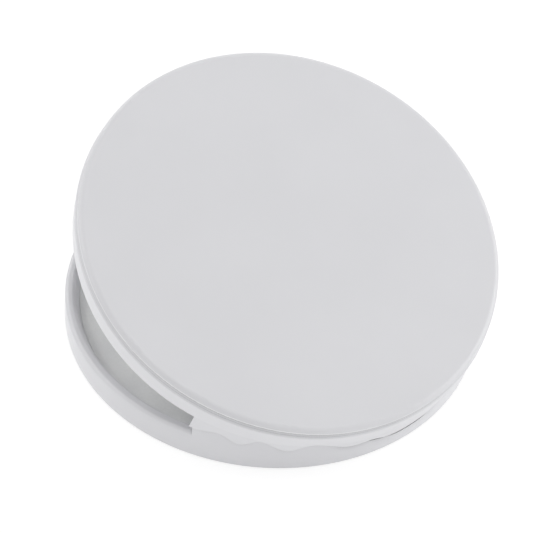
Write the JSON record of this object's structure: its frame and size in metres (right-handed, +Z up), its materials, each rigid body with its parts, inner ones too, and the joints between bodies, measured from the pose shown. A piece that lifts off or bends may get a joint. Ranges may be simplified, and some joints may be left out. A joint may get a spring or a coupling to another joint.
{
  "type": "wet palette",
  "caption": "Round hinged palette case with a shallow tray holding a soaked sponge and paper under a flat lid that keeps paint moist.",
  "frame": {"origin": "centre of the underside, on the surface that the palette stands on", "axes": "+Z up out of the tray, +Y towards the hinge, -Y towards the mouth, X along the hinge axis"},
  "size_m": [0.1244, 0.1247, 0.0574],
  "materials": {
    "tray_plastic": "satin white moulded ABS",
    "lid_plastic": "satin white moulded ABS",
    "pad_rubber": "matt grey rubber",
    "sponge_foam": "open-cell white foam, soaked",
    "palette_paper": "damp translucent parchment",
    "hinge_steel": "drawn stainless wire",
    "seal_silicone": "soft white silicone"
  },
  "bodies": {
    "tray": {"base_shell": "tray_plastic", "non_slip_pad": "pad_rubber", "sponge": "sponge_foam", "palette_paper": "palette_paper", "hinge_pin": "hinge_steel", "friction_washer_left": "hinge_steel", "friction_washer_right": "hinge_steel"},
    "lid": {"lid_frame": "lid_plastic", "lid_bead_ring": "lid_plastic", "lid_panel": "lid_plastic", "lid_seal": "seal_silicone"}
  },
  "joints": [
    {"name": "lid_hinge", "type": "hinge", "parent": "tray", "child": "lid", "pos_m": [0, 0.0565, 0.0092], "axis": [-1, 0, 0], "range_deg": [-19, 56]}
  ]
}
